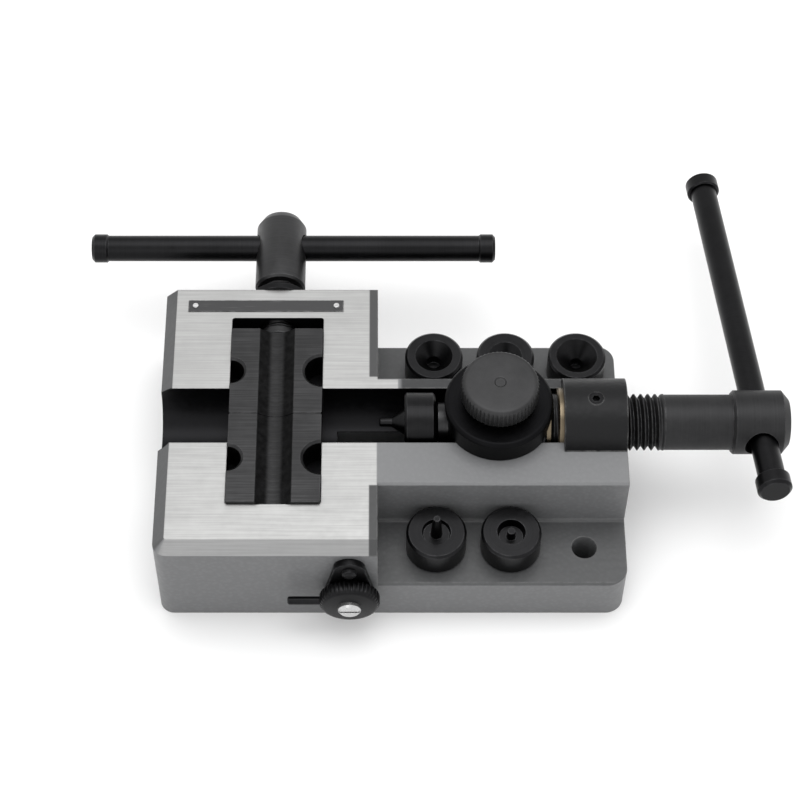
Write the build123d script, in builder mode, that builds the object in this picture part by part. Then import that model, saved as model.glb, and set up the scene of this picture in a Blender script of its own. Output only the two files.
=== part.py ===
"""Bench flaring tool for brake and gas pipe.

A cast bed is line-bored along the press line.  A clamp screw at the back closes a split pair of
dies on the pipe, and a press screw at the right pushes a ram whose punch forms the flare.  Spare
punches stand in holes in the two decks beside the rails.

Frame: +X runs along the press line towards the press handle, +Y towards the clamp handle, +Z up.
The origin is on the underside, below the press line, half way along the bed.
"""
import os
from math import cos, radians, sin, tan

from build123d import *

# ---- Bed casting -------------------------------------------------------------------------------
bed_length = 164.0          # whole casting along X
block_length = 77.0         # die block at the left end
block_depth = 109.0         # die block along Y, centred on the press line
block_over_axis = 4.5       # top of the die block and of the rails, above the press line
deck_height = 20.5          # decks that carry the spare punches
rear_deck_reach = 46.0      # back edge of the rear deck, from the press line
front_rail_reach = 28.4     # outer face of the front rail, from the press line
rear_rail_reach = 16.0      # outer face of the rear rail, from the press line
top_chamfer = 4.2           # front and left top edges of the die block
edge_break = 0.8            # broken edges of the machined faces
block_corner = 5.0          # upright corner at the front left of the die block
bed_corner = 6.5            # upright corners at the right end of the bed
wall_foot = 1.2             # fillet between a deck and its rail
boss_length = 22.0          # closed boss round the press nut
boss_wall = 3.3

# ---- Press line --------------------------------------------------------------------------------
axis_height = 40.0          # press line above the underside
running = 0.08              # radial clearance of parts that slide or turn
face_gap = 0.1              # gap between faces that slide or lift apart
cutter_margin = 1.0         # how far a cut runs past the face that it opens

# ---- Dies --------------------------------------------------------------------------------------
die_from_end = 41.0         # middle of the dies and of the clamp line, from the left end
window_width = 33.0         # opening for the dies along X
window_play = 5.7           # free length behind the closed dies
window_corner = 1.0
die_depth = 36.2            # each die along Y
die_rise = 6.0              # dies reach this far above and below the press line
die_side_gap = 0.2          # play beside the dies
die_corner = 0.6
split_gap = 0.2             # gap between the two closed dies
pipe_radius = 2.375         # half of a 4.75 mm pipe
flare_seat_radius = 4.9     # mouth of the flare seat
top_groove_radius = 9.0     # hand-forming groove across the top and bottom of each die
top_groove_rise = 6.4       # groove centre beyond the die's face
left_notch_radius = 4.8     # upright grooves in the side faces
right_notch_radius = 6.3
notch_chamfer = 0.9

# ---- Clamp screw -------------------------------------------------------------------------------
clamp_drop = 4.5            # clamp line below the press line
pad_radius = 7.5
pad_play = 0.3              # clearance round the pad in its pocket
pad_length = 4.0
pad_seat_depth = 4.4        # pocket in the window's back wall that takes the pad
pad_edge = 0.7
pad_pin_radius = 1.0
pad_pin_half = 6.2
clamp_thread_radius = 6.0
thread_lead = 1.0           # chamfer at the start of both threads
clamp_nose_radius = 4.0
clamp_groove_radius = 2.6
clamp_groove_width = 2.2
clamp_nose_length = 3.2
clamp_nut_radius = 8.0
clamp_nut_flange_radius = 10.5
clamp_nut_flange = 3.0
clamp_nut_flats = 18.0      # across the flats of the flange
turned_edge = 0.8           # chamfer of turned rims
clamp_head_radius = 9.2
clamp_head_gap = 3.5        # between the nut's flange and the head
clamp_head_length = 32.5
clamp_dome_length = 5.0     # rounded end of the head
clamp_dome_flat = 1.6
clamp_bar_from_head = 19.2
clamp_bar_left_arm = 70.4   # from the clamp line to the left end of its bar

# ---- Handle bars -------------------------------------------------------------------------------
bar_radius = 4.8
bar_length = 150.0
bar_spigot_radius = 3.5
cap_length = 6.0
cap_floor = 1.2
cap_edge = 1.0
cap_rear_edge = 0.5
clamp_hole_radius = 5.05
clamp_cap_radius = 5.3
press_hole_play = 0.09      # beyond what the leaning bar needs
press_cap_step = 0.2        # cap above the hole, so that the bar can't drop out

# ---- Press screw and nut -----------------------------------------------------------------------
screw_radius = 10.0         # M20 thread, outside
shank_step = 0.2            # shank below the thread's outside
thread_past_boss = 13.6     # thread that shows outside the boss when screwed in
shank_length = 23.9
head_length = 20.1
head_step = 1.5             # head above the shank
head_dome_length = 2.5
head_dome_step = 3.0
press_bar_from_head = 10.0
press_bar_droop = 6.0       # the long arm hangs this many degrees below level
press_bar_lean = 5.0        # the bar leans this many degrees in its loose hole
press_bar_near_arm = 31.0   # from the screw's axis to the near end
nose_radius = 6.0
nose_groove_radius = 3.9
nose_groove_width = 5.2
nose_edge = 0.5
nut_wall = 2.2
nut_edge = 0.6
nut_length = 24.0
nut_thread_length = 11.5
nut_relief = 0.4            # plain bore that lets the thread pass
nut_slot_width = 3.0
nut_slot_depth = 2.0
grub_radius = 2.5
grub_from_end = 11.0
grub_bite = 1.6             # depth of the grub screw in the nut
grub_sunk = 0.3
grub_socket_radius = 1.4
grub_socket_depth = 1.8
washer_play = 1.2           # washer inside the line bore
washer_thickness = 1.5

# ---- Ram ---------------------------------------------------------------------------------------
ram_front_x = 15.4
ram_rear_x = 54.0
snout_radius = 7.0
snout_length = 4.2
cone_end_x = 25.0
socket_depth = 15.0
ram_web = 3.0               # metal between the punch socket and the screw's nose
nose_end_play = 0.6
knob_x = 37.3
saddle_radius = 19.0
saddle_lift = 0.4           # saddle above the rails
saddle_cover = 1.88         # metal over the top of the ram
saddle_round = 1.6
sleeve_radius = 5.5
sleeve_bore_radius = 4.0
sleeve_flange_radius = 9.0
sleeve_flange = 4.0
sleeve_play = 0.3           # sleeve above the screw's nose
pin_radius = 2.4
pin_collar_radius = 3.7
pin_collar = 1.5
pin_tip_play = 0.3
pin_point = 0.4
collar_play = 0.6
pin_in_knob = 5.5
knob_radius = 13.5
knob_height = 8.7
knob_rise = 2.8             # knob's lower rim above the saddle
knob_cavity_radius = 9.6
knob_cavity_play = 0.5      # knob's ceiling above the sleeve
knob_low_edge = 1.0
knob_top_edge = 1.2
spring_wire = 0.25
spring_radius = 3.2
spring_turns = 3

# ---- Punches -----------------------------------------------------------------------------------
punch_head_radius = 10.5
punch_head_length = 11.0
punch_shank_radius = 4.3
punch_shank_length = 14.0
punch_edge = 0.8
pilot_radius = 1.6
punch_pitch = 26.0          # spare punches along X
first_punch_x = 15.4
front_row_inset = 14.8      # front row from the front face
rear_row_y = 34.4
hole_floor = 2.5            # metal left under the punch holes

# ---- Pipe stop ---------------------------------------------------------------------------------
stop_from_step = 9.75       # stop's shaft from the block's right face
stop_height = 18.5
stop_shaft_radius = 3.0
stop_shaft_end = 8.5
flag_length = 22.0
flag_thickness = 4.0
flag_width = 6.0
flag_eye_radius = 4.2
flag_slot_play = 0.5
flag_pin_radius = 1.0
flag_pin_sunk = 0.2
plate_thickness = 2.5
plate_low_radius = 8.5
plate_high_radius = 5.5
plate_rise = 14.6           # upper screw of the plate above the shaft
plate_screw_radius = 1.5
plate_screw_length = 7.0
plate_screw_head = 1.6
plate_screw_head_flat = 1.6
plate_screw_head_radius = 2.7
stop_knob_radius = 10.5
stop_knob_length = 5.3
stop_knob_round = 1.6
stop_shaft_grip = 3.0       # shaft inside the knob
stop_lever_radius = 1.5
stop_lever_root = 5.0       # lever's inner end from the shaft's axis
stop_lever_reach = 11.0
stop_lever_edge = 0.4
stop_screw_radius = 4.0
stop_screw_length = 2.0
stop_screw_edge = 0.7
stop_slot = 1.0             # screwdriver slot, width and depth

# ---- Blank name plate --------------------------------------------------------------------------
name_plate_from_end = 36.5
name_plate_inset = 7.3      # middle of the plate from the block's rear face
name_plate_length = 56.0
name_plate_width = 5.0
name_plate_thickness = 0.5
name_plate_proud = 0.2
name_plate_play = 0.05
rivet_radius = 1.0
rivet_inset = 2.5
rivet_proud = 0.4

# ---- Worked-out places -------------------------------------------------------------------------
bed_left = -bed_length / 2
bed_right = bed_length / 2
block_right = bed_left + block_length
block_height = axis_height + block_over_axis
front_face = -block_depth / 2
rear_corner_y = block_depth / 2 - block_corner
bore_radius = screw_radius + nut_wall
boss_radius = bore_radius + boss_wall
die_x = bed_left + die_from_end
die_top = axis_height + die_rise
die_height = 2 * die_rise
window_front = -(split_gap / 2 + die_depth + face_gap)
window_floor = axis_height - die_rise - face_gap
pad_start = split_gap / 2 + die_depth + face_gap
pad_end = pad_start + pad_length
window_rear = split_gap / 2 + die_depth + window_play
clamp_height = axis_height - clamp_drop
nut_start = window_rear + pad_seat_depth
clamp_head_start = block_depth / 2 + clamp_nut_flange + clamp_head_gap
clamp_head_end = clamp_head_start + clamp_head_length
clamp_bar_y = clamp_head_start + clamp_bar_from_head
shank_radius = screw_radius - shank_step
head_radius = shank_radius + head_step
thread_end_x = bed_right + thread_past_boss
head_start_x = thread_end_x + shank_length
head_end_x = head_start_x + head_length
press_bar_x = head_start_x + press_bar_from_head
droop = radians(press_bar_droop)
lean = radians(press_bar_lean)
press_hole_radius = bar_radius / cos(lean) + head_radius * tan(lean) + press_hole_play
press_cap_radius = press_hole_radius + press_cap_step
screw_shoulder_x = ram_rear_x + washer_thickness + face_gap
nut_inner_x = bed_right - nut_length
nut_thread_end_x = nut_inner_x + nut_thread_length
nut_relief_radius = screw_radius + nut_relief
washer_radius = bore_radius - washer_play
grub_x = bed_right - grub_from_end
ram_radius = bore_radius - running
saddle_bottom = block_height + saddle_lift
saddle_top = axis_height + ram_radius + saddle_cover
knob_low = saddle_top + knob_rise
knob_top = knob_low + knob_height
punch_hole_radius = punch_shank_radius + running
front_row_y = front_face + front_row_inset
stop_x = block_right - stop_from_step
name_plate_x = bed_left + name_plate_from_end
name_plate_y = block_depth / 2 - name_plate_inset

press_line = Plane(origin=(0, 0, axis_height), x_dir=(1, 0, 0), z_dir=(0, -1, 0))
clamp_line = Plane(origin=(die_x, 0, clamp_height), x_dir=(0, 1, 0), z_dir=(1, 0, 0))
stop_line = Plane(origin=(stop_x, 0, stop_height), x_dir=(0, 1, 0), z_dir=(1, 0, 0))

os.makedirs("parts", exist_ok=True)


def upright(x, y):
    """Plane whose x axis stands up through a place on the bed."""
    return Plane(origin=(x, y, 0), x_dir=(0, 0, 1), z_dir=(0, -1, 0))


def turn(plane, *outline, mode=Mode.ADD):
    """Turn an outline about the plane's x axis; each point is (along, radius)."""
    with BuildSketch(plane) as profile:
        with BuildLine():
            Polyline(*outline, close=True)
        make_face()
    revolve(profile.sketch, axis=Axis(plane.origin, plane.x_dir), mode=mode)


def rod(plane, start, end, radius, mode=Mode.ADD):
    """A plain round length along the plane's x axis, or a bore when it is subtracted."""
    turn(plane, (start, 0), (end, 0), (end, radius), (start, radius), mode=mode)


def edged_rod(plane, start, end, radius, edge):
    """A round length with both rims chamfered."""
    turn(
        plane,
        (start, 0),
        (end, 0),
        (end, radius - edge),
        (end - edge, radius),
        (start + edge, radius),
        (start, radius - edge),
    )


def slab(x_range, y_range, z_range, mode=Mode.ADD):
    """A box between two places on each axis."""
    size = [high - low for low, high in (x_range, y_range, z_range)]
    middle = [(high + low) / 2 for low, high in (x_range, y_range, z_range)]
    with Locations(tuple(middle)):
        Box(*size, mode=mode)


def save(piece, name):
    """Label a finished piece and write its file."""
    piece.label = name
    export_step(piece, f"parts/{name}.step")


# ---- Bed ---------------------------------------------------------------------------------------
with BuildPart() as bed:
    with BuildSketch(Plane.YZ.offset(block_right)) as bed_section:
        with BuildLine():
            Polyline(
                (front_face, 0),
                (front_face, deck_height),
                (-front_rail_reach, deck_height),
                (-front_rail_reach, block_height),
                (rear_rail_reach, block_height),
                (rear_rail_reach, deck_height),
                (rear_deck_reach, deck_height),
                (rear_deck_reach, 0),
                close=True,
            )
        make_face()
        deck_points = bed_section.vertices().filter_by_position(Axis.Y, deck_height, deck_height)
        fillet(deck_points.sort_by(Axis.X)[1:3], radius=wall_foot)
        deck_edges = bed_section.vertices().filter_by_position(Axis.Y, deck_height, deck_height)
        chamfer([deck_edges.sort_by(Axis.X)[0], deck_edges.sort_by(Axis.X)[-1]], length=edge_break)
        chamfer(
            bed_section.vertices().filter_by_position(Axis.Y, block_height, block_height),
            length=edge_break,
        )
    extrude(amount=bed_right - block_right)
    end_corners = bed.edges().filter_by(Axis.Z).filter_by_position(Axis.X, bed_right, bed_right)
    fillet(
        end_corners.filter_by_position(Axis.Y, front_face, front_face)
        + end_corners.filter_by_position(Axis.Y, rear_deck_reach, rear_deck_reach),
        radius=bed_corner,
    )
    slab((bed_left, block_right), (front_face, -front_face), (0, block_height))
    block_corners = bed.edges().filter_by(Axis.Z).filter_by_position(Axis.X, bed_left, bed_left)
    fillet(block_corners.filter_by_position(Axis.Y, front_face, front_face), radius=block_corner)
    top_edges = bed.edges().filter_by_position(Axis.Z, block_height, block_height)
    left_part = top_edges.filter_by_position(Axis.X, bed_left, block_right - block_corner)
    chamfer(left_part.filter_by_position(Axis.Y, front_face, rear_corner_y), length=top_chamfer)
    # closed boss round the press nut
    with BuildSketch(Plane.YZ.offset(bed_right)) as boss_section:
        with Locations((0, axis_height)):
            Circle(boss_radius)
    extrude(amount=-boss_length)
    # line bore, open at the top through the rails
    rod(press_line, bed_left, bed_right, bore_radius, mode=Mode.SUBTRACT)
    # window for the dies
    with BuildSketch(Plane.XY.offset(window_floor)):
        with Locations((die_x, (window_front + window_rear) / 2)):
            RectangleRounded(window_width, window_rear - window_front, window_corner)
    extrude(amount=block_height, mode=Mode.SUBTRACT)
    # clamp line: pocket for the pad, then the tapping for the clamp nut
    rod(clamp_line, pad_start - cutter_margin, nut_start, pad_radius + pad_play, mode=Mode.SUBTRACT)
    rod(clamp_line, nut_start, block_depth / 2, clamp_nut_radius, mode=Mode.SUBTRACT)
    # holes for the spare punches
    for row_y in (front_row_y, rear_row_y):
        for number in range(3):
            rod(
                upright(first_punch_x + number * punch_pitch, row_y),
                hole_floor,
                deck_height,
                punch_hole_radius,
                mode=Mode.SUBTRACT,
            )
    # pipe stop: shaft hole and the slot that the flag lies in
    rod(stop_line, front_face, stop_shaft_end, stop_shaft_radius + running, mode=Mode.SUBTRACT)
    slab(
        (stop_x - flag_eye_radius - flag_slot_play, stop_x + flag_length + flag_slot_play),
        (-flag_width / 2 - flag_slot_play, flag_width / 2 + flag_slot_play),
        (stop_height - flag_eye_radius - flag_slot_play, axis_height - bore_radius + flag_thickness),
        mode=Mode.SUBTRACT,
    )
    rod(
        Plane(origin=(stop_x, front_face, stop_height + plate_rise), x_dir=(0, 1, 0), z_dir=(1, 0, 0)),
        0,
        plate_screw_length + cutter_margin,
        plate_screw_radius,
        mode=Mode.SUBTRACT,
    )
    # grub screw over the press nut
    rod(upright(grub_x, 0), axis_height, axis_height + boss_radius, grub_radius, mode=Mode.SUBTRACT)
    # shallow seat of the blank name plate
    slab(
        (name_plate_x - name_plate_length / 2, name_plate_x + name_plate_length / 2),
        (name_plate_y - name_plate_width / 2, name_plate_y + name_plate_width / 2),
        (block_height + name_plate_proud - name_plate_thickness, block_height + cutter_margin),
        mode=Mode.SUBTRACT,
    )
save(bed.part, "bed")

# ---- Dies --------------------------------------------------------------------------------------
die_half = window_width / 2 - die_side_gap
die_left = die_x - die_half
die_right = die_x + die_half


def make_die(side):
    """One die block; side is -1 for the front die and +1 for the rear one."""
    middle_y = side * (split_gap + die_depth) / 2
    with BuildPart() as die:
        with BuildSketch(Plane.XY.offset(axis_height - die_rise)):
            with Locations((die_x, middle_y)):
                RectangleRounded(2 * die_half, die_depth, die_corner)
        extrude(amount=die_height)
        # half of the pipe bore with its flare seat at the ram's side
        seat = flare_seat_radius - pipe_radius
        turn(
            press_line,
            (die_left, 0),
            (die_right, 0),
            (die_right, flare_seat_radius),
            (die_right - seat, pipe_radius),
            (die_left + seat / 3, pipe_radius),
            (die_left, pipe_radius + seat / 3),
            mode=Mode.SUBTRACT,
        )
        # grooves across the top and the bottom
        for height in (die_top + top_groove_rise, axis_height - die_rise - top_groove_rise):
            groove = Plane(origin=(die_x, 0, height), x_dir=(0, 1, 0), z_dir=(1, 0, 0))
            rod(
                groove,
                middle_y - die_depth / 2,
                middle_y + die_depth / 2,
                top_groove_radius,
                mode=Mode.SUBTRACT,
            )
        # upright grooves in the side faces, chamfered at both mouths
        for notch_x, notch in ((die_left, left_notch_radius), (die_right, right_notch_radius)):
            low = axis_height - die_rise
            turn(
                upright(notch_x, middle_y),
                (low, 0),
                (die_top, 0),
                (die_top, notch + notch_chamfer),
                (die_top - notch_chamfer, notch),
                (low + notch_chamfer, notch),
                (low, notch + notch_chamfer),
                mode=Mode.SUBTRACT,
            )
    return die.part


save(make_die(-1), "front_die")
save(make_die(1), "rear_die")

# ---- Clamp screw -------------------------------------------------------------------------------
nose_tip_y = pad_end - clamp_nose_length
groove_y = pad_end - clamp_nose_length / 2
pad_pin_height = clamp_height + clamp_groove_radius + pad_pin_radius + running

with BuildPart() as clamp_pad:
    edged_rod(clamp_line, pad_start, pad_end, pad_radius, pad_edge)
    rod(clamp_line, nose_tip_y - face_gap, pad_end, clamp_nose_radius + running, mode=Mode.SUBTRACT)
    pin_line = Plane(origin=(die_x, groove_y, pad_pin_height), x_dir=(1, 0, 0), z_dir=(0, -1, 0))
    rod(pin_line, -pad_radius, pad_radius, pad_pin_radius, mode=Mode.SUBTRACT)
save(clamp_pad.part, "clamp_pad")

with BuildPart() as clamp_pad_pin:
    rod(pin_line, -pad_pin_half, pad_pin_half, pad_pin_radius)
save(clamp_pad_pin.part, "clamp_pad_pin")

with BuildPart() as clamp_screw:
    shoulder = pad_end + face_gap
    turn(
        clamp_line,
        (nose_tip_y, 0),
        (nose_tip_y, clamp_nose_radius),
        (groove_y - clamp_groove_width / 2, clamp_nose_radius),
        (groove_y - clamp_groove_width / 2, clamp_groove_radius),
        (groove_y + clamp_groove_width / 2, clamp_groove_radius),
        (groove_y + clamp_groove_width / 2, clamp_nose_radius),
        (shoulder, clamp_nose_radius),
        (shoulder, clamp_thread_radius - thread_lead),
        (shoulder + thread_lead, clamp_thread_radius),
        (clamp_head_start, clamp_thread_radius),
        (clamp_head_start, clamp_head_radius - turned_edge),
        (clamp_head_start + turned_edge, clamp_head_radius),
        (clamp_head_end - clamp_dome_length, clamp_head_radius),
        (clamp_head_end - clamp_dome_flat, clamp_head_radius - 0.4 * clamp_dome_length),
        (clamp_head_end, clamp_head_radius - clamp_dome_length),
        (clamp_head_end, 0),
    )
    clamp_bar_line = Plane(
        origin=(die_x, clamp_bar_y, clamp_height), x_dir=(1, 0, 0), z_dir=(0, -1, 0)
    )
    rod(clamp_bar_line, -clamp_head_radius, clamp_head_radius, clamp_hole_radius, mode=Mode.SUBTRACT)
save(clamp_screw.part, "clamp_screw")

with BuildPart() as clamp_nut:
    nut_face = block_depth / 2
    turn(
        clamp_line,
        (nut_start, clamp_thread_radius + running),
        (nut_start, clamp_nut_radius),
        (nut_face, clamp_nut_radius),
        (nut_face, clamp_nut_flange_radius),
        (nut_face + clamp_nut_flange - turned_edge, clamp_nut_flange_radius),
        (nut_face + clamp_nut_flange, clamp_nut_flange_radius - turned_edge),
        (nut_face + clamp_nut_flange, clamp_thread_radius + running),
    )
    flat_reach = clamp_nut_flange_radius + cutter_margin
    for flat_side in (-1, 1):
        slab(
            sorted((die_x + flat_side * clamp_nut_flats / 2, die_x + flat_side * flat_reach)),
            (nut_face, nut_face + clamp_nut_flange),
            (clamp_height - flat_reach, clamp_height + flat_reach),
            mode=Mode.SUBTRACT,
        )
save(clamp_nut.part, "clamp_nut")


def make_bar(line, start):
    """A handle bar with a spigot at each end for its cap."""
    spigot = cap_length - cap_floor
    with BuildPart() as bar:
        turn(
            line,
            (start + cap_floor, 0),
            (start + bar_length - cap_floor, 0),
            (start + bar_length - cap_floor, bar_spigot_radius),
            (start + bar_length - cap_floor - spigot, bar_spigot_radius),
            (start + bar_length - cap_length, bar_radius),
            (start + cap_length, bar_radius),
            (start + cap_length, bar_spigot_radius),
            (start + cap_floor, bar_spigot_radius),
        )
    return bar.part


def make_caps(line, start, radius):
    """The two caps pressed on a bar's spigots."""
    with BuildPart() as caps:
        for outer, inward in ((start, 1), (start + bar_length, -1)):
            turn(
                line,
                (outer, 0),
                (outer, radius - cap_edge),
                (outer + inward * cap_edge, radius),
                (outer + inward * (cap_length - cap_rear_edge), radius),
                (outer + inward * cap_length, radius - cap_rear_edge),
                (outer + inward * cap_length, bar_spigot_radius),
                (outer + inward * cap_floor, bar_spigot_radius),
                (outer + inward * cap_floor, 0),
            )
    return caps.part


save(make_bar(clamp_bar_line, -clamp_bar_left_arm), "clamp_bar")
save(make_caps(clamp_bar_line, -clamp_bar_left_arm, clamp_cap_radius), "clamp_bar_caps")

# ---- Press nut ---------------------------------------------------------------------------------
with BuildPart() as press_nut:
    turn(
        press_line,
        (nut_inner_x, screw_radius + running),
        (nut_inner_x, bore_radius - nut_edge),
        (nut_inner_x + nut_edge, bore_radius),
        (bed_right, bore_radius),
        (bed_right, nut_relief_radius),
        (nut_thread_end_x, nut_relief_radius),
        (nut_thread_end_x, screw_radius + running),
    )
    slab(
        (bed_right - nut_slot_depth, bed_right),
        (-bore_radius, bore_radius),
        (axis_height - nut_slot_width / 2, axis_height + nut_slot_width / 2),
        mode=Mode.SUBTRACT,
    )
    grub_tip = axis_height + bore_radius - grub_bite
    rod(upright(grub_x, 0), grub_tip, axis_height + bore_radius, grub_radius, mode=Mode.SUBTRACT)
save(press_nut.part, "press_nut")

with BuildPart() as nut_grub_screw:
    grub_head = axis_height + boss_radius - grub_sunk
    rod(upright(grub_x, 0), grub_tip, grub_head, grub_radius)
    with BuildSketch(Plane(origin=(grub_x, 0, grub_head))):
        RegularPolygon(radius=grub_socket_radius, side_count=6)
    extrude(amount=-grub_socket_depth, mode=Mode.SUBTRACT)
save(nut_grub_screw.part, "nut_grub_screw")

# ---- Ram ---------------------------------------------------------------------------------------
ram_bore_front = ram_front_x + socket_depth + ram_web
nose_end_x = ram_bore_front + nose_end_play
sleeve_foot = axis_height + nose_radius + sleeve_play
sleeve_top = saddle_top + sleeve_flange

with BuildPart() as ram:
    turn(
        press_line,
        (ram_front_x, 0),
        (ram_front_x, snout_radius - edge_break),
        (ram_front_x + edge_break, snout_radius),
        (ram_front_x + snout_length, snout_radius),
        (cone_end_x, ram_radius),
        (ram_rear_x - edge_break, ram_radius),
        (ram_rear_x, ram_radius - edge_break),
        (ram_rear_x, 0),
    )
    rod(press_line, ram_front_x, ram_front_x + socket_depth, punch_hole_radius, mode=Mode.SUBTRACT)
    rod(press_line, ram_bore_front, ram_rear_x, nose_radius + running, mode=Mode.SUBTRACT)
    rod(upright(knob_x, 0), axis_height, axis_height + ram_radius, sleeve_radius, mode=Mode.SUBTRACT)
save(ram.part, "ram")

with BuildPart() as ram_saddle:
    with BuildSketch(Plane.XY.offset(saddle_bottom)):
        with Locations((knob_x, 0)):
            Circle(saddle_radius)
    extrude(amount=saddle_top - saddle_bottom)
    fillet(ram_saddle.faces().sort_by(Axis.Z)[-1].edges(), radius=saddle_round)
    rod(
        press_line,
        knob_x - 2 * saddle_radius,
        knob_x + 2 * saddle_radius,
        ram_radius,
        mode=Mode.SUBTRACT,
    )
    rod(upright(knob_x, 0), axis_height, saddle_top, sleeve_radius, mode=Mode.SUBTRACT)
save(ram_saddle.part, "ram_saddle")

with BuildPart() as plunger_sleeve:
    turn(
        upright(knob_x, 0),
        (sleeve_foot, sleeve_bore_radius),
        (sleeve_foot, sleeve_radius),
        (saddle_top, sleeve_radius),
        (saddle_top, sleeve_flange_radius),
        (sleeve_top, sleeve_flange_radius),
        (sleeve_top, pin_radius + running),
        (saddle_top, pin_radius + running),
        (saddle_top, sleeve_bore_radius),
    )
save(plunger_sleeve.part, "plunger_sleeve")

with BuildPart() as coupling_pin:
    pin_tip = axis_height + nose_groove_radius + pin_tip_play
    collar_low = sleeve_foot + collar_play
    pin_end = sleeve_top + pin_in_knob
    turn(
        upright(knob_x, 0),
        (pin_tip, 0),
        (pin_tip, pin_radius - pin_point),
        (pin_tip + pin_point, pin_radius),
        (collar_low, pin_radius),
        (collar_low, pin_collar_radius),
        (collar_low + pin_collar, pin_collar_radius),
        (collar_low + pin_collar, pin_radius),
        (pin_end, pin_radius),
        (pin_end, 0),
    )
save(coupling_pin.part, "coupling_pin")

with BuildPart() as coupling_spring:
    spring_low = collar_low + pin_collar + spring_wire + face_gap
    spring_high = saddle_top - spring_wire - face_gap
    spring_rise = spring_high - spring_low
    with BuildLine() as spring_path:
        Helix(
            pitch=spring_rise / spring_turns,
            height=spring_rise,
            radius=spring_radius,
            center=(knob_x, 0, spring_low),
        )
    with BuildSketch(
        Plane(origin=spring_path.line @ 0, z_dir=spring_path.line % 0)
    ) as spring_section:
        Circle(spring_wire)
    sweep(sections=spring_section.sketch, path=spring_path.line)
save(coupling_spring.part, "coupling_spring")

with BuildPart() as coupling_knob:
    ceiling = sleeve_top + knob_cavity_play
    turn(
        upright(knob_x, 0),
        (knob_low, knob_cavity_radius),
        (knob_low, knob_radius - knob_low_edge),
        (knob_low + knob_low_edge, knob_radius),
        (knob_top - knob_top_edge, knob_radius),
        (knob_top, knob_radius - knob_top_edge),
        (knob_top, 0),
        (pin_end, 0),
        (pin_end, pin_radius),
        (ceiling, pin_radius),
        (ceiling, knob_cavity_radius),
    )
save(coupling_knob.part, "coupling_knob")

# ---- Press screw -------------------------------------------------------------------------------
with BuildPart() as press_screw:
    turn(
        press_line,
        (nose_end_x, 0),
        (nose_end_x, nose_radius - nose_edge),
        (nose_end_x + nose_edge, nose_radius),
        (knob_x - nose_groove_width / 2, nose_radius),
        (knob_x - nose_groove_width / 2, nose_groove_radius),
        (knob_x + nose_groove_width / 2, nose_groove_radius),
        (knob_x + nose_groove_width / 2, nose_radius),
        (screw_shoulder_x, nose_radius),
        (screw_shoulder_x, screw_radius - thread_lead),
        (screw_shoulder_x + thread_lead, screw_radius),
        (thread_end_x, screw_radius),
        (thread_end_x, shank_radius),
        (head_start_x, shank_radius),
        (head_start_x, head_radius - turned_edge),
        (head_start_x + turned_edge, head_radius),
        (head_end_x - head_dome_length, head_radius),
        (head_end_x, head_radius - head_dome_step),
        (head_end_x, 0),
    )
    hole_line = Plane(
        origin=(press_bar_x, 0, axis_height),
        x_dir=(0, cos(droop), -sin(droop)),
        z_dir=(1, 0, 0),
    )
    rod(hole_line, -2 * head_radius, 2 * head_radius, press_hole_radius, mode=Mode.SUBTRACT)
save(press_screw.part, "press_screw")

with BuildPart() as thrust_washer:
    turn(
        press_line,
        (ram_rear_x, nose_radius + running),
        (ram_rear_x, washer_radius),
        (ram_rear_x + washer_thickness, washer_radius),
        (ram_rear_x + washer_thickness, nose_radius + running),
    )
save(thrust_washer.part, "thrust_washer")

bar_direction = Vector(-sin(lean), cos(lean) * cos(droop), -cos(lean) * sin(droop))
bar_side = Vector(cos(lean), sin(lean) * cos(droop), -sin(lean) * sin(droop))
press_bar_line = Plane(
    origin=(press_bar_x, 0, axis_height), x_dir=bar_direction, z_dir=bar_side
)
save(make_bar(press_bar_line, -press_bar_near_arm), "press_bar")
save(make_caps(press_bar_line, -press_bar_near_arm, press_cap_radius), "press_bar_caps")

# ---- Punches -----------------------------------------------------------------------------------


def make_punch(line, seat, outward, face_outline):
    """A punch: its head rests on the seat, its shank goes the other way.

    face_outline lists (rise above the head's face, radius) from the rim inwards to the axis.
    """
    face = seat + outward * punch_head_length
    with BuildPart() as punch:
        turn(
            line,
            (seat - outward * punch_shank_length, 0),
            (seat - outward * punch_shank_length, punch_shank_radius - punch_edge),
            (seat - outward * (punch_shank_length - punch_edge), punch_shank_radius),
            (seat + outward * face_gap, punch_shank_radius),
            (seat + outward * face_gap, punch_head_radius - punch_edge),
            (seat + outward * (face_gap + punch_edge), punch_head_radius),
            (face - outward * punch_edge, punch_head_radius),
            (face, punch_head_radius - punch_edge),
            *[(face + outward * rise, radius) for rise, radius in face_outline],
        )
    return punch.part


# the forming faces: first-stage pilot, deep ring with a short pin, plain folding cone, cups
pilot_face = [(0, 4.8), (4.5, pilot_radius + 0.1), (8.4, pilot_radius), (8.9, 1.1), (8.9, 0)]
pin_face = [(0, 5.0), (-1.6, 4.6), (-1.6, 2.1), (5.2, pilot_radius), (8.9, 1.2), (8.9, 0)]
ring_face = [(0, 4.9), (-3.4, 4.2), (-3.4, pilot_radius), (0.6, 1.4), (0.6, 0)]
cup_face = [(0, 6.8), (-4.2, 2.6), (-8.0, 2.6), (-8.0, 0)]
shallow_cup_face = [(0, 6.0), (-3.0, 2.4), (-7.0, 2.4), (-7.0, 0)]
cone_cup_face = [(0, 7.4), (-5.0, 2.2), (-8.5, 2.2), (-8.5, 0)]

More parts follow.
